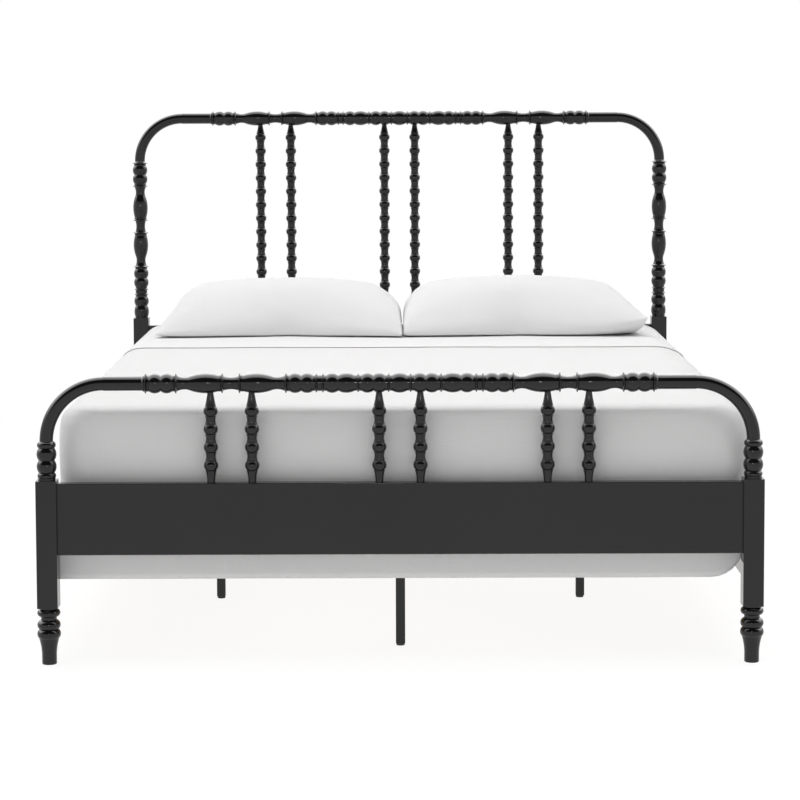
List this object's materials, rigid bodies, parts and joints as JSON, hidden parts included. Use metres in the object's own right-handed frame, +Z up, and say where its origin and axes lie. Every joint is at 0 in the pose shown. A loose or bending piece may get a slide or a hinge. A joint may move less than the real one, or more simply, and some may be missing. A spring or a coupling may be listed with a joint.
{
  "type": "spindle bed",
  "caption": "Queen-size spindle bed with turned head and foot rails on bent corners, hooked side rails, a slatted base on legs with screw-out glides, and bedding that lifts off.",
  "frame": {"origin": "on the floor, under the middle of the bed", "axes": "+X to the viewer's right as seen from the foot, +Y from foot to head, +Z up"},
  "size_m": [1.657, 2.151, 1.2444],
  "materials": {
    "black_paint": "satin",
    "slat_wood": "matte",
    "zinc_steel": "satin",
    "glide_plastic": "matte",
    "mattress_ticking": "matte",
    "coverlet_linen": "matte",
    "sheet_cotton": "matte",
    "pillow_cotton": "matte"
  },
  "bodies": {
    "bed_frame": {"cleat_left": "slat_wood", "cleat_right": "slat_wood", "cleat_screws": "zinc_steel", "corner_dowels": "slat_wood", "foot_corner_left": "black_paint", "foot_corner_right": "black_paint", "foot_panel": "black_paint", "foot_post_left": "black_paint", "foot_post_right": "black_paint", "foot_spindle_1": "black_paint", "foot_spindle_2": "black_paint", "foot_spindle_3": "black_paint", "foot_spindle_4": "black_paint", "foot_spindle_5": "black_paint", "foot_spindle_6": "black_paint", "foot_top_rail": "black_paint", "glide_bushes": "zinc_steel", "head_corner_left": "black_paint", "head_corner_right": "black_paint", "head_panel": "black_paint", "head_post_left": "black_paint", "head_post_right": "black_paint", "head_spindle_1": "black_paint", "head_spindle_2": "black_paint", "head_spindle_3": "black_paint", "head_spindle_4": "black_paint", "head_spindle_5": "black_paint", "head_spindle_6": "black_paint", "head_top_rail": "black_paint", "leg_bolts": "zinc_steel", "plain_slats": "slat_wood", "plate_screws": "zinc_steel", "post_slot_plates": "zinc_steel", "rail_hook_plates": "zinc_steel", "side_rail_left": "black_paint", "side_rail_right": "black_paint", "slat_screws": "zinc_steel", "support_leg_1": "black_paint", "support_leg_2": "black_paint", "support_leg_3": "black_paint", "support_leg_4": "black_paint", "support_leg_5": "black_paint", "support_leg_6": "black_paint", "support_slat_1": "slat_wood", "support_slat_2": "slat_wood", "support_slat_3": "slat_wood", "support_slat_4": "slat_wood"},
    "glide_1": {"glide_1": "glide_plastic"},
    "glide_2": {"glide_2": "glide_plastic"},
    "glide_3": {"glide_3": "glide_plastic"},
    "glide_4": {"glide_4": "glide_plastic"},
    "glide_5": {"glide_5": "glide_plastic"},
    "glide_6": {"glide_6": "glide_plastic"},
    "bedding": {"mattress": "mattress_ticking", "coverlet": "coverlet_linen", "turned_sheet": "sheet_cotton"},
    "pillow_left": {"pillow_left": "pillow_cotton"},
    "pillow_right": {"pillow_right": "pillow_cotton"}
  },
  "joints": [
    {"name": "glide_1_screw", "type": "slide", "parent": "bed_frame", "child": "glide_1", "axis": [0, 0, -1], "range_m": [0, 0.012]},
    {"name": "glide_2_screw", "type": "slide", "parent": "bed_frame", "child": "glide_2", "axis": [0, 0, -1], "range_m": [0, 0.012]},
    {"name": "glide_3_screw", "type": "slide", "parent": "bed_frame", "child": "glide_3", "axis": [0, 0, -1], "range_m": [0, 0.012]},
    {"name": "glide_4_screw", "type": "slide", "parent": "bed_frame", "child": "glide_4", "axis": [0, 0, -1], "range_m": [0, 0.012]},
    {"name": "glide_5_screw", "type": "slide", "parent": "bed_frame", "child": "glide_5", "axis": [0, 0, -1], "range_m": [0, 0.012]},
    {"name": "glide_6_screw", "type": "slide", "parent": "bed_frame", "child": "glide_6", "axis": [0, 0, -1], "range_m": [0, 0.012]},
    {"name": "bedding_lift", "type": "slide", "parent": "bed_frame", "child": "bedding", "axis": [0, 0, 1], "range_m": [0, 0.5]},
    {"name": "pillow_left_lift", "type": "slide", "parent": "bedding", "child": "pillow_left", "axis": [0, 0, 1], "range_m": [0, 0.25]},
    {"name": "pillow_right_lift", "type": "slide", "parent": "bedding", "child": "pillow_right", "axis": [0, 0, 1], "range_m": [0, 0.25]}
  ]
}
